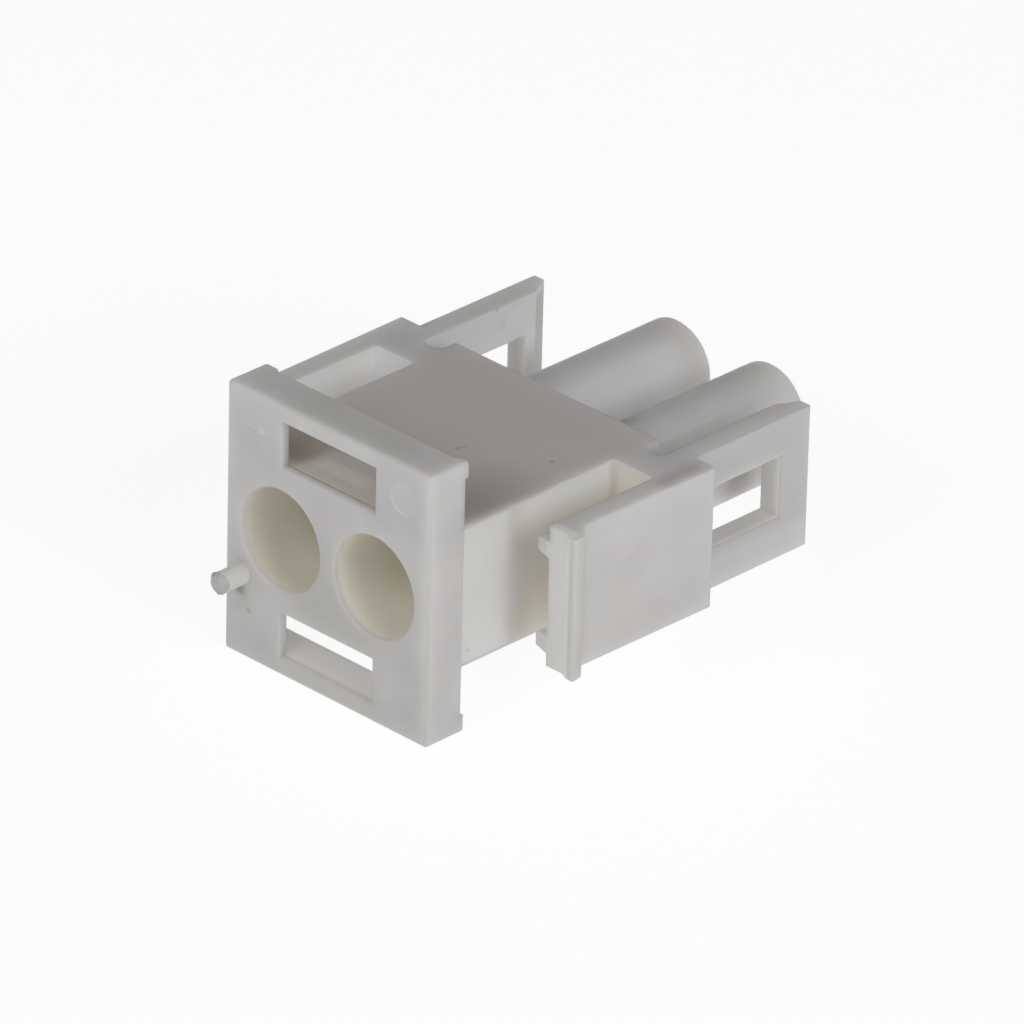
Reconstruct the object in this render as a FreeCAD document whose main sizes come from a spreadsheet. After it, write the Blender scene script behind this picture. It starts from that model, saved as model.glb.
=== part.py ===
import FreeCAD, Part
import math
import os
import Sketcher

# Housing of a two-way power connector, moulded in one piece: a flange that stops at a panel, a body
# block that passes through the panel's cut-out, two wings that snap out behind the panel, two ears
# that lock on the mating half, and two silos that hold the contacts.
#
# Frame: X across the two contacts, Y the way the housing is pushed into its mate, Z up. The origin
# lies on the flange's panel face, midway between the axes of the contacts.

DRIVING = {
    # Contact cavities, from the wire side to the mating side
    "pitch": 6.35,
    "wire_bore": 5.34,
    "wire_bore_depth": 10.20,
    "wire_mouth_round": 0.12,
    "funnel_length": 0.90,
    "barrel_bore": 3.80,
    "catch_bore": 3.00,
    "catch_length": 1.60,
    "catch_setback": 0.90,
    "tip_bore": 3.40,
    "tip_lead": 0.30,
    # Body block round the cavities
    "side_wall": 0.885,
    "roof_wall": 1.10,
    "body_length": 13.09,
    # Flange
    "flange_overhang": 0.14,
    "flange_thick": 2.34,
    "flange_round": 0.20,
    "flange_front_round": 0.10,
    "flange_skin": 0.50,
    "hollow_side": 0.95,
    "slot_width": 6.30,
    "slot_height": 2.45,
    "slot_land": 0.13,
    "slot_rim": 0.92,
    "slot_round": 0.12,
    "stop_width": 0.80,
    "stop_height": 0.85,
    "stop_thick": 0.26,
    # Wings that snap out behind the panel
    "panel_gap": 2.89,
    "wing_gap": 2.63,
    "wing_thick": 1.14,
    "wing_flare": 0.12,
    "bridge_length": 2.93,
    "bridge_round": 0.28,
    "foot_reach": 0.88,
    "foot_length": 0.68,
    "foot_step": 0.24,
    "foot_shoulder": 0.10,
    "foot_lip": 0.44,
    "foot_taper": 0.12,
    "foot_ramp": 0.80,
    "claw_reach": 0.70,
    "claw_height": 0.68,
    "claw_length": 0.60,
    "claw_drop": 0.88,
    "claw_slant": 0.22,
    # Ears that lock on the mating half
    "ear_thick": 1.29,
    "ear_length": 7.93,
    "ear_lead_length": 1.20,
    "ear_lead_depth": 0.63,
    "ear_band": 1.95,
    "window_start": 0.95,
    "window_height": 3.20,
    "window_round": 0.30,
    "notch_width": 1.20,
    "notch_depth": 1.18,
    "notch_round": 0.52,
    # Silos
    "silo_wall": 0.67,
    "silo_length": 11.72,
    "silo_draft": 0.10,
    "silo_round": 0.10,
    # Gate left on the flange's back
    "gate_diameter": 1.10,
    "gate_length": 1.75,
    "gate_round": 0.26,
    "gate_edge": 1.20,
    "gate_drop": 2.74,
    # Soft edges of the block, the wings and the ears
    "edge_round": 0.10,
}

doc = FreeCAD.newDocument("Housing")
sheet = doc.addObject("Spreadsheet::Sheet", "Sizes")
for row, (alias, number) in enumerate(DRIVING.items(), start=1):
    sheet.set(f"A{row}", alias)
    sheet.set(f"B{row}", str(number))
    sheet.setAlias(f"B{row}", alias)
doc.recompute()


class Size:
    """A length or angle with its present value and the expression that drives it."""

    def __init__(self, value, text):
        self.value = value
        self.text = text

    def joined(self, other, sign, value):
        return Size(value, f"({self.text} {sign} {other.text})")

    def __add__(self, other):
        other = sized(other)
        return self.joined(other, "+", self.value + other.value)

    def __sub__(self, other):
        other = sized(other)
        return self.joined(other, "-", self.value - other.value)

    def __mul__(self, other):
        other = sized(other)
        return self.joined(other, "*", self.value * other.value)

    def __truediv__(self, other):
        other = sized(other)
        return self.joined(other, "/", self.value / other.value)

    def __neg__(self):
        return Size(-self.value, f"(-{self.text})")


def sized(number):
    """A plain number as a Size, or a Size as it is."""
    return number if isinstance(number, Size) else Size(float(number), f"{number}")


def size(alias):
    """The driving dimension with this alias."""
    return Size(float(sheet.get(alias)), f"Sizes.{alias}")


# Places worked out from the driving dimensions
HALF_PITCH = size("pitch") / 2
WIRE_RADIUS = size("wire_bore") / 2
BODY_HALF_WIDTH = HALF_PITCH + WIRE_RADIUS + size("side_wall")
BODY_HALF_HEIGHT = WIRE_RADIUS + size("roof_wall")
BODY_FRONT = size("body_length")
FLANGE_BACK = -size("flange_thick")
FLANGE_HALF_WIDTH = BODY_HALF_WIDTH + size("flange_overhang")
SLOT_LOW = BODY_HALF_HEIGHT + size("slot_land")
SLOT_HIGH = SLOT_LOW + size("slot_height")
FLANGE_HALF_HEIGHT = SLOT_HIGH + size("slot_rim")
HOLLOW_HALF_WIDTH = FLANGE_HALF_WIDTH - size("hollow_side")
WING_INNER = BODY_HALF_WIDTH + size("wing_gap")
WING_OUTER = WING_INNER + size("wing_thick")
WING_FLARED = WING_OUTER + size("wing_flare")
FOOT_BACK = size("panel_gap")
FOOT_FRONT = FOOT_BACK + size("foot_length")
FOOT_TIP = WING_OUTER + size("foot_reach")
FOOT_SIDE = FOOT_TIP - size("foot_taper")
RAMP_FRONT = FOOT_FRONT + size("foot_ramp")
WING_BACK = FOOT_BACK + size("foot_step")
BRIDGE_BACK = BODY_FRONT - size("bridge_length")
EAR_OUTER = WING_INNER
EAR_INNER = EAR_OUTER - size("ear_thick")
EAR_FRONT = BODY_FRONT + size("ear_length")
NOTCH_INNER = EAR_INNER - size("notch_width")
NOTCH_BACK = BODY_FRONT - size("notch_depth")
WINDOW_BACK = BODY_FRONT + size("window_start")
WINDOW_FRONT = EAR_FRONT - size("ear_band")
WINDOW_HALF = size("window_height") / 2
TIP_RADIUS = size("tip_bore") / 2
SILO_RADIUS = TIP_RADIUS + size("silo_wall")
SILO_FRONT = BODY_FRONT + size("silo_length")

body = doc.addObject("PartDesign::Body", "Moulding")
body.Label = "housing"
PLANES = {feature.Role: feature for feature in body.Origin.OriginFeatures}


def bind(target, name, amount):
    """Sets a property and ties it to its expression."""
    amount = sized(amount)
    setattr(target, name, amount.value)
    target.setExpression(name, amount.text)


def new_sketch(name, plane, offset=0):
    """An empty sketch on one of the body's own planes, moved along the plane's normal."""
    sketch = body.newObject("Sketcher::SketchObject", name)
    sketch.AttachmentSupport = [(PLANES[plane], "")]
    sketch.MapMode = "FlatFace"
    offset = sized(offset)
    sketch.AttachmentOffset = FreeCAD.Placement(FreeCAD.Vector(0, 0, offset.value), FreeCAD.Rotation())
    sketch.setExpression("AttachmentOffset.Base.z", offset.text)
    return sketch


def pin_point(sketch, geometry, point, across, up, name):
    """Ties one point of a sketch to its two coordinates."""
    for kind, label, amount, axis in (("DistanceX", "x", across, -2), ("DistanceY", "y", up, -1)):
        if amount.value == 0:
            sketch.addConstraint(Sketcher.Constraint("PointOnObject", geometry, point, axis))
            continue
        index = sketch.addConstraint(
            Sketcher.Constraint(kind, -1, 1, geometry, point, amount.value)
        )
        sketch.renameConstraint(index, f"{name}_{label}")
        sketch.setExpression(f"Constraints.{name}_{label}", amount.text)


def add_outline(sketch, corners, name="corner"):
    """A closed outline of straight edges through the corners, each tied to its coordinates."""
    corners = [(sized(across), sized(up)) for across, up in corners]
    first = sketch.GeometryCount
    ends = corners[1:] + corners[:1]
    for start, end in zip(corners, ends):
        points = [FreeCAD.Vector(across.value, up.value, 0) for across, up in (start, end)]
        sketch.addGeometry(Part.LineSegment(*points), False)
    for index, (across, up) in enumerate(corners):
        edge = first + index
        before = first + (index - 1) % len(corners)
        sketch.addConstraint(Sketcher.Constraint("Coincident", before, 2, edge, 1))
        pin_point(sketch, edge, 1, across, up, f"{name}{index}")


def add_circle(sketch, across, up, radius, name):
    """A circle tied to its centre and radius."""
    across, up, radius = sized(across), sized(up), sized(radius)
    centre = FreeCAD.Vector(across.value, up.value, 0)
    circle = sketch.addGeometry(Part.Circle(centre, FreeCAD.Vector(0, 0, 1), radius.value), False)
    pin_point(sketch, circle, 3, across, up, name)
    index = sketch.addConstraint(Sketcher.Constraint("Radius", circle, radius.value))
    sketch.renameConstraint(index, f"{name}_radius")
    sketch.setExpression(f"Constraints.{name}_radius", radius.text)


def add_axis(sketch, across):
    """A construction line at the given X, along the sketch's second direction."""
    across = sized(across)
    start, end = FreeCAD.Vector(across.value, 0, 0), FreeCAD.Vector(across.value, 1, 0)
    line = sketch.addGeometry(Part.LineSegment(start, end), True)
    pin_point(sketch, line, 1, across, sized(0), "axis_start")
    pin_point(sketch, line, 2, across, sized(1), "axis_end")


def rectangle(left, right, low, high):
    return [(left, low), (right, low), (right, high), (left, high)]


def pad(name, sketch, length, reverse=False, symmetric=False, draft=None):
    """A pad of a sketch; a draft narrows it along its length."""
    feature = body.newObject("PartDesign::Pad", name)
    feature.Profile = sketch
    feature.Reversed = reverse
    feature.Refine = True
    if symmetric:
        feature.SideType = "Symmetric"
    bind(feature, "Length", length)
    if draft is not None:
        bind(feature, "TaperAngle", -draft)
    doc.recompute()
    return feature


def pocket(name, sketch, length, reverse=False):
    """A pocket of a sketch, which has to take something away."""
    before = body.Tip.Shape.Volume
    feature = body.newObject("PartDesign::Pocket", name)
    feature.Profile = sketch
    feature.Reversed = reverse
    feature.Refine = True
    bind(feature, "Length", length)
    doc.recompute()
    if feature.Shape.Volume >= before:
        raise RuntimeError(f"{name} cuts nothing")
    return feature


def mirror(name, originals):
    """The same features again on the other side of the middle plane."""
    feature = body.newObject("PartDesign::Mirrored", name)
    feature.Originals = originals
    feature.MirrorPlane = (PLANES["YZ_Plane"], [""])
    feature.Refine = True
    body.Tip = feature
    doc.recompute()
    return feature


def fillet(name, radius, test):
    """Rounds the edges of the present solid that pass the test."""
    base = body.Tip
    names = [f"Edge{i}" for i, edge in enumerate(base.Shape.Edges, start=1) if test(edge)]
    if not names:
        raise RuntimeError(f"{name} finds no edges")
    feature = body.newObject("PartDesign::Fillet", name)
    feature.Base = (base, names)
    feature.Refine = True
    bind(feature, "Radius", radius)
    doc.recompute()
    return feature


NEAR = 0.001


def near(first, second):
    return abs(first - sized(second).value) < NEAR


def spans(edge):
    """The box of an edge as three (low, high) pairs, in X, Y, Z order."""
    box = edge.BoundBox
    return (box.XMin, box.XMax), (box.YMin, box.YMax), (box.ZMin, box.ZMax)


def at(edge, x=None, y=None, z=None):
    """Whether the whole edge lies at the given places; X and Z count on both sides."""
    (x_low, x_high), (y_low, y_high), (z_low, z_high) = spans(edge)
    checks = []
    if x is not None:
        checks.append(near(abs(x_low), x) and near(abs(x_high), x))
    if y is not None:
        checks.append(near(y_low, y) and near(y_high, y))
    if z is not None:
        checks.append(near(abs(z_low), z) and near(abs(z_high), z))
    return all(checks)


def upright(edge):
    (x_low, x_high), (y_low, y_high), (z_low, z_high) = spans(edge)
    return x_high - x_low < NEAR and y_high - y_low < NEAR and z_high - z_low > NEAR


def is_ring(edge, diameter):
    """Whether the edge is a whole circle of this diameter that faces along Y."""
    (x_low, x_high), _, (z_low, z_high) = spans(edge)
    return near(x_high - x_low, diameter) and near(z_high - z_low, diameter)


def build_flange():
    """A soft-edged plate with a stop at each corner, hollow above and below the block, with a slot
    through the skin at the back of each hollow."""
    plate = new_sketch("FlangeOutline", "XZ_Plane")
    add_outline(plate, rectangle(-FLANGE_HALF_WIDTH, FLANGE_HALF_WIDTH,
                                 -FLANGE_HALF_HEIGHT, FLANGE_HALF_HEIGHT))
    pad("Flange", plate, size("flange_thick"))
    stops = new_sketch("StopOutlines", "XZ_Plane")
    left, low = FLANGE_HALF_WIDTH - size("stop_width"), FLANGE_HALF_HEIGHT - size("stop_height")
    right, high = FLANGE_HALF_WIDTH, FLANGE_HALF_HEIGHT
    add_outline(stops, rectangle(left, right, low, high), "right_upper")
    add_outline(stops, rectangle(left, right, -high, -low), "right_lower")
    add_outline(stops, rectangle(-right, -left, low, high), "left_upper")
    add_outline(stops, rectangle(-right, -left, -high, -low), "left_lower")
    pad("Stops", stops, size("stop_thick"), reverse=True)
    outer = (dict(x=FLANGE_HALF_WIDTH), dict(z=FLANGE_HALF_HEIGHT))
    fillet("FlangeEdges", size("flange_round"),
           lambda edge: at(edge, y=FLANGE_BACK)
           or at(edge, x=FLANGE_HALF_WIDTH, z=FLANGE_HALF_HEIGHT)
           or any(at(edge, y=size("stop_thick"), **side) for side in outer))
    fillet("FlangeFrontEdge", size("flange_front_round"),
           lambda edge: any(at(edge, y=0, **side) for side in outer))
    hollows = new_sketch("HollowOutlines", "XZ_Plane")
    wide = HOLLOW_HALF_WIDTH
    add_outline(hollows, rectangle(-wide, wide, BODY_HALF_HEIGHT, SLOT_HIGH), "upper")
    add_outline(hollows, rectangle(-wide, wide, -SLOT_HIGH, -BODY_HALF_HEIGHT), "lower")
    pocket("Hollows", hollows, size("flange_thick") - size("flange_skin"), reverse=True)
    slots = new_sketch("SlotOutlines", "XZ_Plane", -FLANGE_BACK)
    half = size("slot_width") / 2
    add_outline(slots, rectangle(-half, half, SLOT_LOW, SLOT_HIGH), "upper")
    add_outline(slots, rectangle(-half, half, -SLOT_HIGH, -SLOT_LOW), "lower")
    pocket("Slots", slots, size("flange_thick"))
    fillet("SlotEdges", size("slot_round"),
           lambda edge: at(edge, y=FLANGE_BACK)
           and max(-edge.BoundBox.XMin, edge.BoundBox.XMax) < half.value + NEAR)


def build_side():
    """The right half of the block with its wing and ear, one outline seen from above."""
    outline = new_sketch("SideOutline", "XY_Plane")
    add_outline(outline, [
        (0, FLANGE_BACK / 2),
        (BODY_HALF_WIDTH, FLANGE_BACK / 2),
        (BODY_HALF_WIDTH, BRIDGE_BACK),
        (WING_INNER, BRIDGE_BACK),
        (WING_INNER, WING_BACK),
        (WING_OUTER - size("foot_shoulder"), WING_BACK),
        (WING_OUTER + size("foot_lip"), FOOT_BACK),
        (FOOT_TIP, FOOT_BACK),
        (FOOT_SIDE, FOOT_FRONT),
        (WING_OUTER, RAMP_FRONT),
        (WING_FLARED, BODY_FRONT),
        (EAR_OUTER, BODY_FRONT),
        (EAR_OUTER, EAR_FRONT),
        (EAR_INNER + size("ear_lead_depth"), EAR_FRONT),
        (EAR_INNER, EAR_FRONT - size("ear_lead_length")),
        (EAR_INNER, NOTCH_BACK),
        (NOTCH_INNER, NOTCH_BACK),
        (NOTCH_INNER, BODY_FRONT),
        (0, BODY_FRONT),
    ])
    return pad("Side", outline, BODY_HALF_HEIGHT * 2, symmetric=True)


def build_claws():
    """Two small hooks inside the wing's free end, slanted below, one near its top and one near
    its bottom."""
    sketch = new_sketch("ClawOutlines", "XZ_Plane", -WING_BACK)
    inside = WING_INNER - size("claw_reach")
    root = WING_INNER + size("wing_thick") / 2
    top = BODY_HALF_HEIGHT - size("claw_drop")
    for name, high in (("upper", top), ("lower", size("claw_height") - top)):
        low = high - size("claw_height")
        foot = low - size("claw_slant")
        add_outline(sketch, [
            (inside, low), (WING_INNER, foot), (root, foot), (root, high), (inside, high),
        ], name)
    return pad("Claws", sketch, size("claw_length"), reverse=True)


def build_windows():
    """The catch window through the ear."""
    sketch = new_sketch("WindowOutline", "YZ_Plane", EAR_OUTER)
    add_outline(sketch, rectangle(WINDOW_BACK, WINDOW_FRONT, -WINDOW_HALF, WINDOW_HALF))
    return pocket("Window", sketch, size("ear_thick"))


def build_silos():
    """A round silo on the left and a keyed one, square below its axis, on the right."""
    sketch = new_sketch("RoundSiloOutline", "XZ_Plane", -BODY_FRONT)
    add_circle(sketch, -HALF_PITCH, 0, SILO_RADIUS, "silo")
    pad("RoundSilo", sketch, size("silo_length"), reverse=True, draft=size("silo_draft"))
    keyed = new_sketch("KeyedSiloOutline", "XZ_Plane", -BODY_FRONT)
    add_keyed_outline(keyed, HALF_PITCH, SILO_RADIUS)
    pad("KeyedSilo", keyed, size("silo_length"), reverse=True, draft=size("silo_draft"))


def add_keyed_outline(sketch, across, radius):
    """A half circle above its centre and a square half below it."""
    centre = FreeCAD.Vector(across.value, 0, 0)
    circle = Part.Circle(centre, FreeCAD.Vector(0, 0, 1), radius.value)
    arc = sketch.addGeometry(Part.ArcOfCircle(circle, 0, math.pi), False)
    left, right, low = across - radius, across + radius, -radius
    corners = [(left, sized(0)), (left, low), (right, low), (right, sized(0))]
    points = [FreeCAD.Vector(x.value, z.value, 0) for x, z in corners]
    lines = [
        sketch.addGeometry(Part.LineSegment(start, end), False)
        for start, end in zip(points, points[1:])
    ]
    sketch.addConstraint(Sketcher.Constraint("Coincident", arc, 2, lines[0], 1))
    sketch.addConstraint(Sketcher.Constraint("Coincident", lines[0], 2, lines[1], 1))
    sketch.addConstraint(Sketcher.Constraint("Coincident", lines[1], 2, lines[2], 1))
    sketch.addConstraint(Sketcher.Constraint("Coincident", lines[2], 2, arc, 1))
    for end in (1, 2):
        sketch.addConstraint(Sketcher.Constraint("PointOnObject", arc, end, -1))
    pin_point(sketch, arc, 3, across, sized(0), "centre")
    pin_point(sketch, lines[1], 1, left, low, "left_corner")
    pin_point(sketch, lines[1], 2, right, low, "right_corner")
    index = sketch.addConstraint(Sketcher.Constraint("Radius", arc, radius.value))
    sketch.renameConstraint(index, "radius")
    sketch.setExpression("Constraints.radius", radius.text)


def build_cavity():
    """The contact's cavity, turned about its axis: wire bore, funnel, barrel, catch and tip."""
    sketch = new_sketch("CavityProfile", "XY_Plane")
    add_axis(sketch, HALF_PITCH)
    funnel_back = FLANGE_BACK + size("wire_bore_depth")
    funnel_front = funnel_back + size("funnel_length")
    catch_back = BODY_FRONT - size("catch_setback")
    catch_front = catch_back + size("catch_length")
    barrel = HALF_PITCH + size("barrel_bore") / 2
    catch = HALF_PITCH + size("catch_bore") / 2
    tip = HALF_PITCH + TIP_RADIUS
    add_outline(sketch, [
        (HALF_PITCH, FLANGE_BACK),
        (HALF_PITCH + WIRE_RADIUS, FLANGE_BACK),
        (HALF_PITCH + WIRE_RADIUS, funnel_back),
        (barrel, funnel_front),
        (barrel, catch_back),
        (catch, catch_back),
        (catch, catch_front),
        (tip, catch_front),
        (tip, SILO_FRONT - size("tip_lead")),
        (tip + size("tip_lead"), SILO_FRONT),
        (HALF_PITCH, SILO_FRONT),
    ])
    before = body.Tip.Shape.Volume
    groove = body.newObject("PartDesign::Groove", "Cavity")
    groove.Profile = sketch
    groove.ReferenceAxis = (sketch, ["Axis0"])
    groove.Angle = 360
    groove.Refine = True
    doc.recompute()
    if groove.Shape.Volume >= before:
        raise RuntimeError("the cavity cuts nothing")
    return groove


def build_gate():
    """The stub of the gate, broken off and left standing on the flange's back."""
    sketch = new_sketch("GateOutline", "XZ_Plane", -FLANGE_BACK)
    across = -(FLANGE_HALF_WIDTH - size("gate_edge"))
    add_circle(sketch, across, -size("gate_drop"), size("gate_diameter") / 2, "gate")
    pad("Gate", sketch, size("gate_length"))
    fillet("GateEnd", size("gate_round"), lambda edge: at(edge, y=FLANGE_BACK - size("gate_length")))


def soften_inside_corners():
    """Round inside corners where the wings and the ears spring from the block."""
    fillet("BridgeCorners", size("bridge_round"),
           lambda edge: upright(edge) and (at(edge, x=BODY_HALF_WIDTH, y=BRIDGE_BACK)
                                           or at(edge, x=WING_INNER, y=BRIDGE_BACK)))
    fillet("NotchEnds", size("notch_round"), lambda edge: upright(edge) and at(edge, y=NOTCH_BACK))


def soften_outside_edges():
    """Soft outer edges of the bore mouths, the windows, the wings, the ears and the silos."""
    fillet("WireMouths", size("wire_mouth_round"),
           lambda edge: is_ring(edge, size("wire_bore")) and at(edge, y=FLANGE_BACK))
    fillet("WindowEdges", size("window_round"),
           lambda edge: at(edge, x=EAR_OUTER)
           and edge.BoundBox.YMin > WINDOW_BACK.value - NEAR
           and edge.BoundBox.YMax < WINDOW_FRONT.value + NEAR)
    corners = [
        (FOOT_TIP, FOOT_BACK),
        (FOOT_SIDE, FOOT_FRONT),
        (WING_FLARED, BODY_FRONT),
        (EAR_OUTER, EAR_FRONT),
        (NOTCH_INNER, BODY_FRONT),
    ]
    fillet("OuterCorners", size("edge_round"),
           lambda edge: upright(edge) and any(at(edge, x=x, y=y) for x, y in corners))
    fillet("SiloEnds", size("silo_round"), lambda edge: at(edge, y=SILO_FRONT))


build_flange()
side = build_side()
claws = build_claws()
window = build_windows()
build_silos()
cavity = build_cavity()
mirror("OtherSide", [side, claws, window, cavity])
soften_inside_corners()
soften_outside_edges()
build_gate()
doc.recompute()

for feature in doc.Objects:
    if "Invalid" in feature.State or "Error" in feature.State:
        raise RuntimeError(f"{feature.Label}: {feature.State}")
shape = body.Shape
if shape.isNull() or not shape.isValid() or len(shape.Solids) != 1:
    raise RuntimeError(f"{body.Label} is not one valid solid")

os.makedirs("parts", exist_ok=True)
shape.exportStep(f"parts/{body.Label}.step")
print(f"{body.Label}: {shape.Volume:.1f} mm3, {shape.BoundBox}")
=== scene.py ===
import math

import bpy
from mathutils import Matrix, Vector


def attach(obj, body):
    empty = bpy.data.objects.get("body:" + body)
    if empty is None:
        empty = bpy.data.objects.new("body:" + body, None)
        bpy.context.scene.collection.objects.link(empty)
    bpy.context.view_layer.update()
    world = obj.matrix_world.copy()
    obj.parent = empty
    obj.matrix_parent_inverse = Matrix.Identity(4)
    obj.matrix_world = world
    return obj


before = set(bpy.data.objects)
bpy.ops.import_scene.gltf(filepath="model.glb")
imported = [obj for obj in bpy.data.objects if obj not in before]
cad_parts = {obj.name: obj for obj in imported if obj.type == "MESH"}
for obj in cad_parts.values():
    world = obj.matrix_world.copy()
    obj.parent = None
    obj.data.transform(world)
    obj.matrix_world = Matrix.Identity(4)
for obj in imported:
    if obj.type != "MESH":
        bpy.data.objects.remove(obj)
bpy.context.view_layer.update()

# Looks of the two-way connector housing: milky natural nylon, moulded in one piece.
# Frame and lengths are the solid model's own, with +Y the mating direction and Z up.

MM = 0.001
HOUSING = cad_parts["housing"]

# The camera that the photograph was taken with, in degrees, millimetres and pixels
CAMERA = {
    "turn": 44.138,
    "rise": 28.183,
    "roll": 1.460,
    "distance": 568.584,
    "target": (0.0, 8.66, 0.0),
    "aside": (-1.054, 1.068),
    "focal_pixels": 11836.3,
}
IMAGE_PIXELS = 1024
SENSOR_MM = 36.0

# How near and how far the camera sees, in metres
CLIP_RANGE = (0.01, 20)

# How bright the studio is: the room above the housing and the lit table that it stands on
ROOM_LEVEL = 0.17
TABLE_LEVEL = 0.72
TABLE_GREY = 0.5

# The share of its light that the table keeps under the housing, and the shade's reach in millimetres
TABLE_SHADE = 0.45
TABLE_SHADE_REACH = (8, 60)

# The floor as the camera sees it, and half its width in metres
FLOOR_GLOW = 0.88
FLOOR_GREY = 0.22
FLOOR_HALF = 2.0

# How far off the lamps stand, in metres
LAMP_DISTANCE = 0.6

# Square lamps: turn and rise in degrees, width in metres, and level on a face that looks at them
LAMPS = [
    ("back_lamp", 2, 38, 0.34, 0.215),
    ("right_lamp", 82, 29, 0.26, 0.295),
]

# Sizes of the moulding that its finish follows, in millimetres
HALF_PITCH = 3.175
WIRE_RADIUS = 2.67
FLANGE_BACK = -2.34
WIRE_BORE_END = 7.86
FUNNEL_LENGTH = 0.9
SILO_BORE_RADIUS = 1.9
LOWEST = -7.27
GATE_X = -5.67
GATE_Z = -2.74

# The nylon's shine, its skin, and how far light goes in it, with lengths in millimetres
NYLON_IOR = 1.53
NYLON_ROUGHNESS = 0.48
WAVE_SIZE = 2.2
WAVE_SHARE = 0.8
GRAIN_SIZE = 0.16
EDGE_SOFTNESS = 0.16
SKIN_DEPTH = 0.05
LIGHT_REACH = 2.0
LIGHT_REACH_BY_COLOUR = (1.0, 0.93, 0.80)

# How the left side's looks pass into the right side's, round the middle plane
SIDES_MEET = (-0.5, 0.5)

# Nylon in the solid, at its clearest and at its milkiest
CLEAR_NYLON = (0.680, 0.669, 0.667)
MILKY_NYLON = (0.722, 0.711, 0.709)

# Each tint is a soft-edged box: its label, middle, half size and softness in millimetres, and colour

# Where thin walls pass the light on, and where faces lie in shade, on the left and the right alike
TINTS_ON_BOTH_SIDES = [
    ("block's top", (0.0, 6.6, 3.9), (6.6, 6.7, 0.2), (0.12, 0.3, 0.05),
     (0.700, 0.661, 0.637)),
    ("block's side", (6.75, 1.4, 0.0), (0.08, 1.3, 3.5), (0.05, 0.9, 0.2),
     (0.84, 0.835, 0.825)),
    ("ear's inside", (8.06, 15.8, 0.0), (0.06, 5.6, 3.7), (0.04, 0.6, 0.1),
     (0.795, 0.785, 0.79)),
    ("ear's outside", (9.6, 17.2, 0.0), (0.35, 4.05, 4.0), (0.25, 0.1, 0.5),
     (0.606, 0.599, 0.600)),
    ("window's walls", (8.7, 16.55, 0.0), (0.54, 2.60, 1.70), (0.12, 0.08, 0.08),
     (0.79, 0.78, 0.765)),
    ("window's rim", (9.36, 16.55, 0.0), (0.10, 2.57, 1.65), (0.08, 0.12, 0.12),
     (0.54, 0.535, 0.525)),
    ("wing's tip", (10.15, 3.2, 0.0), (0.75, 0.22, 4.0), (0.3, 0.3, 0.5),
     (0.82, 0.82, 0.80)),
]

# Painted light on the two silos, of which the left one is the whiter; the right one is darker, in the
# right ear's painted shade
SILO_PAINTED_LIGHT = [
    ("left silo", (-HALF_PITCH, 18.0, -0.4), (2.5, 3.0, 2.2), (0.1, 3.5, 0.7),
     (0.97, 0.95, 0.925)),
    ("right silo", (HALF_PITCH, 16.4, -0.4), (1.9, 2.6, 2.2), (0.5, 3.0, 0.7),
     (0.89, 0.855, 0.82)),
]

# Tints of the gate's stub: painted light on the stub, and a darker end
GATE_TINTS = [
    ("gate", (GATE_X, -3.2, GATE_Z), (0.56, 0.70, 0.56), (0.1, 0.3, 0.1),
     (0.80, 0.795, 0.785)),
    ("gate's end", (GATE_X, -4.2, GATE_Z), (0.7, 0.22, 0.7), (0.1, 0.10, 0.1),
     (0.60, 0.58, 0.575)),
]

# Painted light in the flange's hollow, with its colours below and above the height where they meet, the
# lower one the lighter
HOLLOW = ("flange's hollow", (0.0, -0.45, 0.0), (5.97, 1.40, 6.42), (0.05, 0.10, 0.05))
HOLLOW_MEETS = (-1.0, 1.0)
HOLLOW_BELOW = (0.90, 0.88, 0.845)
HOLLOW_ABOVE = (0.80, 0.77, 0.72)

# Painted light in the pockets between the wings and the block, which fades in along Y
POCKET = ("pocket", (8.05, 5.6, 0.0), (1.40, 4.62, 3.70), (0.06, 0.05, 0.05))
POCKET_STARTS = (2.7, 5.2)
POCKET_MEETS = (0.8, 2.9)
RIGHT_POCKET_BELOW = (0.945, 0.90, 0.81)
RIGHT_POCKET_ABOVE = (0.975, 0.955, 0.905)
LEFT_POCKET = (0.92, 0.905, 0.885)

# Where the bores' painted light comes in, in millimetres: off the wall, past the mouth and deep down
BORE_WALL_FADE = (0.12, 0.03)
BORE_MOUTH_FADE = 0.5
BORE_DEEP_FADE = 5.0

# The bores' colours near the wire side's mouths and deep down, all painted light, where the upper half
# is darker with painted shade
LEFT_BORE = (0.88, 0.84, 0.765)
RIGHT_BORE = (0.99, 0.92, 0.83)
DEEP_MEETS = (-1.8, 2.0)
DEEP_BELOW = (0.99, 0.945, 0.86)
DEEP_ABOVE_LEFT = (0.905, 0.815, 0.67)
DEEP_ABOVE_RIGHT = (0.985, 0.885, 0.745)

# The right ejector pin's round witness on the flange's back, and the side where its edge gets a painted
# highlight
PIN_MIDDLE = (5.05, FLANGE_BACK, 5.45)
PIN_RADIUS = 0.92
PIN_BRIGHT_SIDE = (-0.62, 0.0, -0.78)

# How strongly the pin's pad and the painted highlight on its edge show, and their colours
PIN_PAD = (0.25, (0.80, 0.795, 0.78))
PIN_EDGE = (0.75, (0.86, 0.855, 0.845))
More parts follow.
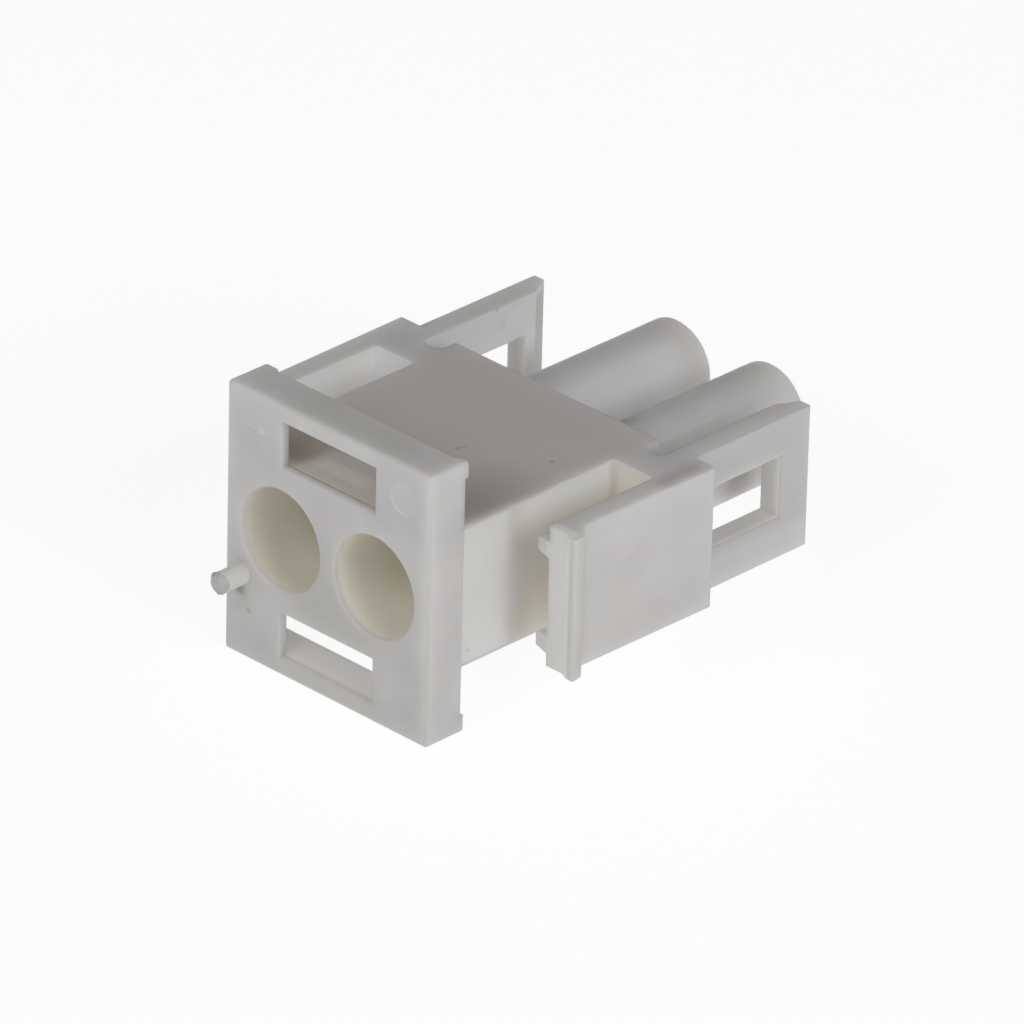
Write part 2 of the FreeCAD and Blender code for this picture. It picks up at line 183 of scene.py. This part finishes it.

# Marks, and painted shade and painted light on places that the two sides don't share
MARKS = [
    # A dark spot under the gate's stub, partly its painted shadow
    ("spot under the gate", (-5.88, -2.34, -3.66), (0.04, 0.10, 0.02), (0.52, 0.20, 0.44),
     (0.46, 0.44, 0.37)),
    ("speck below the gate", (-5.24, -2.34, -4.60), (0.02, 0.10, 0.02), (0.22, 0.20, 0.20),
     (0.53, 0.51, 0.48)),
    ("hair's near half", (0.92, 5.50, 3.77), (0.01, 0.16, 0.10), (0.06, 0.12, 0.10),
     (0.49, 0.46, 0.44)),
    ("hair's far half", (0.99, 5.82, 3.77), (0.01, 0.14, 0.10), (0.06, 0.12, 0.10),
     (0.53, 0.50, 0.475)),
    ("speck on the block's top", (4.92, 7.79, 3.77), (0.01, 0.01, 0.10), (0.11, 0.11, 0.10),
     (0.28, 0.25, 0.23)),
    # Painted shade on the block's top by its right corner, near the flange
    ("block's right corner", (5.30, 3.00, 3.77), (0.80, 0.80, 0.05), (2.60, 3.60, 0.10),
     (0.605, 0.560, 0.545)),
    ("wing's top by its bridge", (10.60, 11.40, 3.77), (0.70, 1.10, 0.02), (0.80, 1.00, 0.08),
     (0.595, 0.585, 0.580)),
    ("right ear's lower bar", (9.36, 17.20, -2.95), (0.08, 3.90, 0.50), (0.10, 0.60, 0.60),
     (0.665, 0.660, 0.665)),
    ("speck on the block's side", (6.73, 0.52, -3.02), (0.02, 0.01, 0.01), (0.10, 0.12, 0.10),
     (0.60, 0.575, 0.55)),
    ("nick in the left ear's edge", (-8.07, 17.12, 3.72), (0.06, 0.03, 0.02), (0.10, 0.12, 0.12),
     (0.55, 0.54, 0.53)),
    ("nick on the left ear's top", (-9.18, 15.88, 3.77), (0.03, 0.03, 0.02), (0.12, 0.12, 0.12),
     (0.58, 0.57, 0.56)),
    ("stain on the left ear", (-8.07, 17.50, 2.75), (0.03, 0.05, 0.05), (0.05, 0.35, 0.35),
     (0.73, 0.725, 0.72)),
    ("pale patch on the left ear", (-8.07, 18.70, 2.90), (0.03, 0.30, 0.20), (0.05, 0.70, 0.50),
     (0.815, 0.81, 0.805)),
    # Painted shade low on the front of the left ear's inside, by the silo
    ("left ear's end bar", (-8.07, 19.70, -0.80), (0.06, 0.40, 0.60), (0.06, 0.60, 1.80),
     (0.60, 0.595, 0.585)),
    # Painted shade on the rounded lead-in at the left ear's front
    ("left ear's lead-in", (-8.45, 20.60, 0.00), (0.40, 0.62, 3.30), (0.12, 0.22, 0.40),
     (0.53, 0.525, 0.52)),
    # Painted shade on the far wall of the left ear's window
    ("left window's far wall", (-8.60, 19.09, 0.00), (0.60, 0.03, 1.55), (0.06, 0.05, 0.08),
     (0.65, 0.645, 0.63)),
    # Painted shade over the highlight on the right wing's tip edge
    ("right wing's tip", (11.22, 3.25, 0.00), (0.20, 0.35, 3.60), (0.12, 0.50, 0.30),
     (0.615, 0.61, 0.595)),
    ("shade behind the slot", (-4.60, 0.20, 3.77), (1.15, 1.10, 0.10), (0.80, 0.80, 0.10),
     (0.675, 0.62, 0.57)),
    # Painted shade on the right silo's outer side, next to the right ear
    ("right silo's outer side", (5.00, 17.70, 1.55), (0.15, 1.80, 0.15), (0.35, 1.20, 0.40),
     (0.78, 0.75, 0.72)),
    # Painted shade on the right silo's inner side, between the silos
    ("right silo's inner side", (1.90, 17.00, 2.10), (0.75, 1.50, 0.50), (0.35, 4.00, 0.50),
     (0.80, 0.78, 0.76)),
    # Painted shade at the right silo's root, between the silos
    ("right silo's root", (2.00, 14.80, 2.00), (0.45, 0.40, 0.30), (1.00, 1.70, 1.00),
     (0.61, 0.58, 0.55)),
    # Painted shade on the right silo's flank, seen through the window
    ("right silo's flank", (5.55, 19.95, -1.30), (0.25, 0.25, 1.10), (0.30, 1.10, 0.50),
     (0.61, 0.60, 0.58)),
    # Painted light at the left pocket's end
    ("left pocket's end", (-8.00, 10.10, 1.70), (1.30, 0.15, 1.95), (0.10, 0.60, 0.08),
     (0.97, 0.955, 0.94)),
    # Painted shade low on the middle of the flange's back
    ("flange's back, below", (0.60, -2.34, -3.00), (1.60, 0.10, 3.00), (2.60, 0.20, 2.00),
     (0.655, 0.645, 0.625)),
    # Painted shade on the middle of the flange's top
    ("flange's top", (0.60, -1.20, 7.27), (2.20, 1.00, 0.05), (3.00, 0.30, 0.05),
     (0.635, 0.63, 0.62)),
    ("light through the slot", (-0.40, 0.60, 3.77), (1.60, 0.80, 0.05), (0.80, 1.20, 0.05),
     (0.79, 0.76, 0.72)),
    ("light at the slot's edge", (-0.90, -0.30, 3.70), (1.30, 0.30, 0.20), (0.90, 0.40, 0.30),
     (0.90, 0.875, 0.82)),
    # Painted light at the right pocket's end
    ("right pocket's end", (8.00, 10.10, 1.90), (1.30, 0.10, 1.75), (0.10, 0.30, 0.08),
     (0.88, 0.85, 0.80)),
    # Painted light in the right pocket's corner
    ("right pocket's corner", (6.80, 10.16, 2.60), (0.05, 0.05, 1.05), (0.45, 0.30, 0.08),
     (0.83, 0.80, 0.745)),
    # Painted shade over the highlight on the flange's right edge
    ("flange's right edge", (6.87, -2.34, 0.00), (0.08, 0.08, 7.30), (0.16, 0.16, 0.10),
     (0.62, 0.615, 0.60)),
    ("left pin's shade", (-5.10, -2.34, 5.20), (0.22, 0.10, 0.01), (0.24, 0.20, 0.09),
     (0.655, 0.65, 0.635)),
    ("left pin's line", (-5.20, -2.34, 5.42), (0.34, 0.10, 0.02), (0.24, 0.20, 0.10),
     (0.735, 0.73, 0.72)),
    ("left pin's spot", (-4.52, -2.34, 5.38), (0.14, 0.10, 0.12), (0.18, 0.20, 0.14),
     (0.81, 0.805, 0.80)),
]

# The torn end of the gate: its colours, and each ring's radius, place, raggedness and unevenness
TORN_DARK = (0.56, 0.54, 0.53)
TORN_PALE = (0.66, 0.64, 0.63)
TEAR_RINGS = [
    (0.50, -3.66, 0.0, 0.0),
    (0.585, -3.90, 0.025, 0.045),
    (0.46, -4.01, 0.01, 0.009),
    (0.26, -4.03, 0.01, 0.009),
]
TEAR_STEPS = 28
TEAR_TIP = (GATE_X + 0.04, -4.03, GATE_Z - 0.03)

# Waves round the torn rings: how many, how strong, their turn in radians, and its step from ring to ring
RAGGED_WAVES = [(3, 1.0, 1.1, 0.0), (7, 0.6, 0.0, 1.0), (11, 0.4, 0.0, 0.0)]
UNEVEN_WAVES = [(2, 1.0, 0.0, 0.7)]


class Graph:
    """Adds nodes to a shader tree and joins them up."""

    def __init__(self, tree):
        self.tree = tree

    def add(self, kind, inputs=None, **settings):
        node = self.tree.nodes.new(f"ShaderNode{kind}")
        for name, value in settings.items():
            setattr(node, name, value)
        for name, value in (inputs or {}).items():
            self.feed(node, name, value)
        return node

    def feed(self, node, name, value):
        """Sets a socket to a value, or links it to another node's output."""
        if isinstance(value, bpy.types.NodeSocket):
            self.tree.links.new(value, node.inputs[name])
        else:
            node.inputs[name].default_value = value

    def math(self, operation, first, second=0.0):
        return self.add("Math", {0: first, 1: second}, operation=operation).outputs[0]

    def vector(self, operation, first, second=(0, 0, 0)):
        return self.add("VectorMath", {0: first, 1: second}, operation=operation).outputs["Vector"]

    def length(self, vector):
        return self.add("VectorMath", {0: vector}, operation="LENGTH").outputs["Value"]

    def span(self, value, low, high, to_low=0.0, to_high=1.0, smooth=True):
        """The value's place between low and high, held at both ends."""
        inputs = {0: value, 1: low, 2: high, 3: to_low, 4: to_high}
        kind = "SMOOTHSTEP" if smooth else "LINEAR"
        return self.add("MapRange", inputs, interpolation_type=kind).outputs[0]

    def blend(self, mask, first, second):
        """Mixes two colours, each of them a socket or a plain red, green and blue."""
        node = self.add("Mix", {0: mask}, data_type="RGBA", blend_type="MIX")
        for name, colour in ((6, first), (7, second)):
            self.feed(node, name, colour if isinstance(colour, bpy.types.NodeSocket) else (*colour, 1))
        return node.outputs[2]

    def place(self):
        """Where a point lies on the housing, in millimetres."""
        return self.vector("MULTIPLY", self.add("TexCoord").outputs["Object"], (1 / MM, 1 / MM, 1 / MM))


def new_material(name):
    material = bpy.data.materials.new(name)
    material.use_nodes = True
    material.node_tree.nodes.clear()
    return material, Graph(material.node_tree)


def new_group(name, inputs, outputs):
    """A shader node group with its sockets and a graph to fill it with."""
    tree = bpy.data.node_groups.new(name, "ShaderNodeTree")
    for label, kind, value in inputs:
        socket = tree.interface.new_socket(label, in_out="INPUT", socket_type=f"NodeSocket{kind}")
        socket.default_value = value
    for label in outputs:
        tree.interface.new_socket(label, in_out="OUTPUT", socket_type="NodeSocketFloat")
    return tree, Graph(tree), tree.nodes.new("NodeGroupInput"), tree.nodes.new("NodeGroupOutput")


def place_group(graph, tree, **inputs):
    node = graph.tree.nodes.new("ShaderNodeGroup")
    node.node_tree = tree
    for name, value in inputs.items():
        graph.feed(node, name.replace("_", " ").capitalize(), value)
    return node


def build_surface_group():
    """Slow waviness and fine grain of a moulded skin, and the cloudiness of the nylon under it."""
    tree, graph, source, target = new_group(
        "moulded_skin",
        [("Place", "Vector", (0, 0, 0)), ("Wave size", "Float", 2.0), ("Grain size", "Float", 0.2),
         ("Wave share", "Float", 0.7)],
        ["Height", "Cloud"])
    place = source.outputs["Place"]
    wave = graph.add("TexNoise", {"Vector": place, "Detail": 1.0, "Roughness": 0.45})
    graph.feed(wave, "Scale", graph.math("DIVIDE", 1.0, source.outputs["Wave size"]))
    grain = graph.add("TexNoise", {"Vector": place, "Detail": 1.0, "Roughness": 0.6})
    graph.feed(grain, "Scale", graph.math("DIVIDE", 1.0, source.outputs["Grain size"]))
    share = source.outputs["Wave share"]
    waved = graph.math("MULTIPLY", wave.outputs[0], share)
    grained = graph.math("MULTIPLY", grain.outputs[0], graph.math("SUBTRACT", 1.0, share))
    graph.feed(target, "Height", graph.math("ADD", waved, grained))
    cloud = graph.add("TexNoise", {"Vector": place, "Scale": 0.35, "Detail": 2.0, "Roughness": 0.55})
    graph.feed(target, "Cloud", graph.span(cloud.outputs[0], 0.3, 0.7))
    return tree


def build_bore_group():
    """How far inside a contact bore a place is: 0 outside it, rising to 1 well down the bore."""
    tree, graph, source, target = new_group(
        "bore_depth",
        [("Place", "Vector", (0, 0, 0)), ("Centre", "Float", 0.0), ("Fade", "Float", 5.0)],
        ["Inside", "Depth"])
    parts = graph.add("SeparateXYZ", {0: source.outputs["Place"]})
    across = graph.math("SUBTRACT", parts.outputs[0], source.outputs["Centre"])
    squares = graph.math("ADD", graph.math("MULTIPLY", across, across),
                         graph.math("MULTIPLY", parts.outputs[2], parts.outputs[2]))
    radius = graph.math("SQRT", squares)
    wall = graph.span(parts.outputs[1], WIRE_BORE_END, WIRE_BORE_END + FUNNEL_LENGTH, WIRE_RADIUS,
                      SILO_BORE_RADIUS, smooth=False)
    near_axis = graph.span(graph.math("SUBTRACT", radius, wall), *BORE_WALL_FADE)
    depth = graph.math("SUBTRACT", parts.outputs[1], FLANGE_BACK)
    past_mouth = graph.span(depth, 0.0, BORE_MOUTH_FADE)
    inside = graph.math("MULTIPLY", near_axis, past_mouth)
    graph.feed(target, "Inside", inside)
    graph.feed(target, "Depth", graph.math("MULTIPLY", inside,
                                           graph.span(depth, 0.0, source.outputs["Fade"])))
    return tree


def build_pin_group():
    """The round witness of an ejector pin on the flange's back, with a painted highlight on its lower
    edge.
    """
    tree, graph, source, target = new_group(
        "pin_witness",
        [("Place", "Vector", (0, 0, 0)), ("Centre", "Vector", (0, 0, 0)), ("Radius", "Float", 0.75)],
        ["Pad", "Edge"])
    offset = graph.vector("SUBTRACT", source.outputs["Place"], source.outputs["Centre"])
    parts = graph.add("SeparateXYZ", {0: offset})
    flat = graph.add("CombineXYZ", {0: parts.outputs[0], 2: parts.outputs[2]}).outputs[0]
    near_face = graph.span(graph.math("ABSOLUTE", parts.outputs[1]), 0.05, 0.15, 1.0, 0.0)
    share = graph.math("DIVIDE", graph.length(flat), source.outputs["Radius"])
    pad = graph.math("MULTIPLY", near_face, graph.span(share, 0.88, 1.0, 1.0, 0.0))
    toward = graph.add("VectorMath", {0: graph.vector("NORMALIZE", flat), 1: PIN_BRIGHT_SIDE},
                       operation="DOT_PRODUCT").outputs["Value"]
    edge = graph.math("MULTIPLY", graph.span(share, 0.55, 0.90), graph.span(toward, 0.25, 0.9))
    graph.feed(target, "Pad", pad)
    graph.feed(target, "Edge", graph.math("MULTIPLY", pad, edge))
    return tree


def build_zone_group():
    """A box with soft sides: 0 inside it, rising to 1 or more outside."""
    tree, graph, source, target = new_group(
        "zone",
        [("Place", "Vector", (0, 0, 0)), ("Middle", "Vector", (0, 0, 0)),
         ("Full", "Vector", (1, 1, 1)), ("Reach", "Vector", (1.1, 1.1, 1.1))],
        ["Outside"])
    offset = graph.vector("SUBTRACT", source.outputs["Place"], source.outputs["Middle"])
    ends = {6: graph.vector("ABSOLUTE", offset), 7: source.outputs["Full"], 8: source.outputs["Reach"],
            9: (0, 0, 0), 10: (1, 1, 1)}
    fade = graph.add("MapRange", ends, data_type="FLOAT_VECTOR", interpolation_type="SMOOTHSTEP")
    graph.feed(target, "Outside", graph.length(fade.outputs["Vector"]))
    return tree


def nylon_colour(graph, place, cloud):
    """The nylon's cloudy colour with every tint and mark over it, painted light and shade among them."""
    across, along, up = graph.add("SeparateXYZ", {0: place}).outputs
    mirrored = graph.add("CombineXYZ", {0: graph.math("ABSOLUTE", across), 1: along, 2: up}).outputs[0]
    right_side = graph.span(across, *SIDES_MEET)
    bore = place_group(graph, build_bore_group(), place=mirrored, centre=HALF_PITCH, fade=BORE_DEEP_FADE)
    pin = place_group(graph, build_pin_group(), place=place, centre=PIN_MIDDLE, radius=PIN_RADIUS)
    zone_tree = build_zone_group()

    def outside(spot, label, middle, half, soft):
        """How far outside a soft-edged box a spot is: 0 within it and 1 past its soft edge."""
        reach = [inner + fade for inner, fade in zip(half, soft)]
        zone = place_group(graph, zone_tree, place=spot, middle=middle, full=half, reach=reach)
        zone.label = label
        return zone.outputs["Outside"]

    def tinted(base, tints, spot=place):
        """The colour with a list of tints laid over it, the last one on top."""
        for *box, colour in tints:
            base = graph.blend(outside(spot, *box), colour, base)
        return base

    base = graph.blend(cloud, CLEAR_NYLON, MILKY_NYLON)
    base = tinted(base, TINTS_ON_BOTH_SIDES, mirrored)
    # Painted light on the silos
    base = tinted(base, SILO_PAINTED_LIGHT)

    # Painted light in the flange's hollow
    hollow = graph.blend(graph.span(up, *HOLLOW_MEETS), HOLLOW_BELOW, HOLLOW_ABOVE)
    base = graph.blend(outside(mirrored, *HOLLOW), hollow, base)

    # Painted light in the pockets
    before_pocket = graph.span(along, *POCKET_STARTS, 1.0, 0.0)
    past_pocket = graph.math("ADD", outside(mirrored, *POCKET), before_pocket)
    upper_pocket = graph.span(up, *POCKET_MEETS)
    right_pocket = graph.blend(upper_pocket, RIGHT_POCKET_BELOW, RIGHT_POCKET_ABOVE)
    base = graph.blend(past_pocket, graph.blend(right_side, LEFT_POCKET, right_pocket), base)

    # Painted light in the bores, with painted shade on their upper halves deep down
    bore_mouth = graph.blend(right_side, LEFT_BORE, RIGHT_BORE)
    base = graph.blend(bore.outputs["Inside"], base, bore_mouth)
    deep_above = graph.blend(right_side, DEEP_ABOVE_LEFT, DEEP_ABOVE_RIGHT)
    deep = graph.blend(graph.span(up, *DEEP_MEETS), DEEP_BELOW, deep_above)
    base = graph.blend(bore.outputs["Depth"], base, deep)

    # The pin's pad, and the painted highlight on its edge
    for name, (strength, colour) in (("Pad", PIN_PAD), ("Edge", PIN_EDGE)):
        base = graph.blend(graph.math("MULTIPLY", pin.outputs[name], strength), base, colour)
    # Painted light on the gate's stub
    base = tinted(base, GATE_TINTS)
    return tinted(base, MARKS)


def make_nylon():
    """The housing's own finish, with painted light and shade in its colour."""
    material, graph = new_material("natural_nylon")
    place = graph.place()
    skin = place_group(graph, build_surface_group(), place=place, wave_size=WAVE_SIZE,
                       grain_size=GRAIN_SIZE, wave_share=WAVE_SHARE)
    soft_edges = graph.add("Bevel", {"Radius": EDGE_SOFTNESS * MM}, samples=3)
    bump = graph.add("Bump", {"Strength": 0.5, "Distance": SKIN_DEPTH * MM,
                              "Height": skin.outputs["Height"], "Normal": soft_edges.outputs[0]})
    shader = graph.add("BsdfPrincipled", {
        "Base Color": nylon_colour(graph, place, skin.outputs["Cloud"]),
        "Roughness": NYLON_ROUGHNESS,
        "IOR": NYLON_IOR,
        "Specular IOR Level": 0.5,
        "Subsurface Weight": 1.0,
        "Subsurface Radius": LIGHT_REACH_BY_COLOUR,
        "Subsurface Scale": LIGHT_REACH * MM,
        "Normal": bump.outputs[0],
    })
    graph.feed(graph.add("OutputMaterial"), "Surface", shader.outputs[0])
    return material


def make_torn_nylon():
    """The dull broken end of the gate."""
    material, graph = new_material("torn_nylon")
    grain = graph.add("TexNoise", {"Vector": graph.place(), "Scale": 5.0, "Detail": 3.0,
                                   "Roughness": 0.6})
    base = graph.blend(graph.span(grain.outputs[0], 0.35, 0.65), TORN_DARK, TORN_PALE)
    bump = graph.add("Bump", {"Strength": 0.6, "Distance": SKIN_DEPTH * MM, "Height": grain.outputs[0]})
    shader = graph.add("BsdfPrincipled", {"Base Color": base, "Roughness": 0.7, "IOR": NYLON_IOR,
                                          "Normal": bump.outputs[0]})
    graph.feed(graph.add("OutputMaterial"), "Surface", shader.outputs[0])
    return material


def new_object(name, points, faces, material):
    """An object in the scene with its own mesh, whose points are in metres."""
    mesh = bpy.data.meshes.new(name)
    mesh.from_pydata(points, [], faces)
    mesh.materials.append(material)
    item = bpy.data.objects.new(name, mesh)
    bpy.context.scene.collection.objects.link(item)
    return item


def wave_sum(waves, turn, number):
    """How far the waves round a numbered ring move it at one turn."""
    return sum(size * math.sin(count * turn + shift + step * number)
               for count, size, shift, step in waves)


def make_gate_tear(material):
    """The ragged end of the gate, where the runner was broken off."""
    points, faces = [], []
    for number, (radius, depth, ragged, uneven) in enumerate(TEAR_RINGS):
        for step in range(TEAR_STEPS):
            turn = 2 * math.pi * step / TEAR_STEPS
            reach = radius + ragged * wave_sum(RAGGED_WAVES, turn, number)
            rise = depth + uneven * wave_sum(UNEVEN_WAVES, turn, number)
            points.append((GATE_X + reach * math.cos(turn), rise, GATE_Z + reach * math.sin(turn)))
    for number in range(len(TEAR_RINGS) - 1):
        for step in range(TEAR_STEPS):
            after = (step + 1) % TEAR_STEPS
            low, high = number * TEAR_STEPS, (number + 1) * TEAR_STEPS
            faces.append((low + step, low + after, high + after, high + step))
    points.append(TEAR_TIP)
    last = (len(TEAR_RINGS) - 1) * TEAR_STEPS
    for step in range(TEAR_STEPS):
        faces.append((last + step, last + (step + 1) % TEAR_STEPS, len(points) - 1))
    points = [tuple(MM * value for value in point) for point in points]
    item = new_object("gate_tear", points, faces, material)
    item.data.shade_smooth()
    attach(item, "root")


def make_floor():
    """A plain pale floor that is white to the camera and keeps the housing's shadow."""
    material, graph = new_material("pale_floor")
    path = graph.add("LightPath")
    seen = graph.math("MAXIMUM", path.outputs["Is Camera Ray"],
                      graph.math("MAXIMUM", path.outputs["Is Glossy Ray"],
                                 path.outputs["Is Transmission Ray"]))
    matt = graph.add("BsdfDiffuse", {"Color": (FLOOR_GREY, FLOOR_GREY, FLOOR_GREY, 1)})
    glow = graph.add("Emission", {"Color": (1, 1, 1, 1), "Strength": FLOOR_GLOW})
    shown = graph.add("AddShader", {0: matt.outputs[0], 1: glow.outputs[0]})
    grey = graph.add("BsdfDiffuse", {"Color": (TABLE_GREY, TABLE_GREY, TABLE_GREY, 1)})
    away = graph.length(graph.add("TexCoord").outputs["Object"])
    near, far = TABLE_SHADE_REACH
    level = graph.span(away, near * MM, far * MM, TABLE_LEVEL * TABLE_SHADE, TABLE_LEVEL)
    lit = graph.add("Emission", {"Color": (1, 1, 1, 1), "Strength": level})
    table = graph.add("AddShader", {0: grey.outputs[0], 1: lit.outputs[0]})
    top = graph.add("MixShader", {0: seen, 1: table.outputs[0], 2: shown.outputs[0]})
    below = graph.add("NewGeometry").outputs["Backfacing"]
    clear = graph.add("BsdfTransparent")
    both = graph.add("MixShader", {0: below, 1: top.outputs[0], 2: clear.outputs[0]})
    graph.feed(graph.add("OutputMaterial"), "Surface", both.outputs[0])
    height = LOWEST * MM
    corners = [(-FLOOR_HALF, -FLOOR_HALF, height), (FLOOR_HALF, -FLOOR_HALF, height),
               (FLOOR_HALF, FLOOR_HALF, height), (-FLOOR_HALF, FLOOR_HALF, height)]
    floor = new_object("floor", corners, [(0, 1, 2, 3)], material)


def make_world():
    """Soft even light from the room, which is white to the camera."""
    world = bpy.data.worlds.new("studio")
    bpy.context.scene.world = world
    world.use_nodes = True
    world.node_tree.nodes.clear()
    graph = Graph(world.node_tree)
    seen = graph.add("LightPath").outputs["Is Camera Ray"]
    strength = graph.span(seen, 0.0, 1.0, ROOM_LEVEL, 1.0, smooth=False)
    sky = graph.add("Background", {"Color": (1, 1, 1, 1), "Strength": strength})
    graph.feed(graph.add("OutputWorld"), "Surface", sky.outputs[0])


def toward_viewer(turn, rise):
    """The direction from the housing to a lamp or a camera, from its turn and rise in radians."""
    return Vector((math.sin(turn) * math.cos(rise), -math.cos(turn) * math.cos(rise), math.sin(rise)))


def make_lamp(name, turn, rise, width, level):
    """A square lamp aimed at the housing; a level of 1 lights a face that looks at it fully."""
    back = toward_viewer(math.radians(turn), math.radians(rise))
    light = bpy.data.lights.new(name, "AREA")
    light.shape = "SQUARE"
    light.size = width
    light.energy = level * (math.pi * LAMP_DISTANCE) ** 2
    item = bpy.data.objects.new(name, light)
    bpy.context.scene.collection.objects.link(item)
    position = MM * Vector(CAMERA["target"]) + back * LAMP_DISTANCE
    facing = (-back).to_track_quat("-Z", "Y").to_matrix().to_4x4()
    item.matrix_world = Matrix.Translation(position) @ facing


def make_camera():
    turn, rise, roll = (math.radians(CAMERA[name]) for name in ("turn", "rise", "roll"))
    right = Vector((math.cos(turn), math.sin(turn), 0))
    back = toward_viewer(turn, rise)
    up = back.cross(right)
    across = math.cos(roll) * right + math.sin(roll) * up
    upward = math.cos(roll) * up - math.sin(roll) * right
    aside_x, aside_y = CAMERA["aside"]
    spot = Vector(CAMERA["target"]) - aside_x * across - aside_y * upward + CAMERA["distance"] * back
    data = bpy.data.cameras.new("camera")
    data.sensor_width = SENSOR_MM
    data.lens = CAMERA["focal_pixels"] * SENSOR_MM / IMAGE_PIXELS
    data.clip_start, data.clip_end = CLIP_RANGE
    camera = bpy.data.objects.new("camera", data)
    bpy.context.scene.collection.objects.link(camera)
    camera.matrix_world = Matrix((
        (across.x, upward.x, back.x, spot.x * MM),
        (across.y, upward.y, back.y, spot.y * MM),
        (across.z, upward.z, back.z, spot.z * MM),
        (0, 0, 0, 1)))
    bpy.context.scene.camera = camera


nylon = make_nylon()
HOUSING.data.materials.clear()
HOUSING.data.materials.append(nylon)
make_gate_tear(make_torn_nylon())
make_floor()
make_world()
for lamp in LAMPS:
    make_lamp(*lamp)
make_camera()
bpy.context.scene.view_settings.view_transform = "Standard"
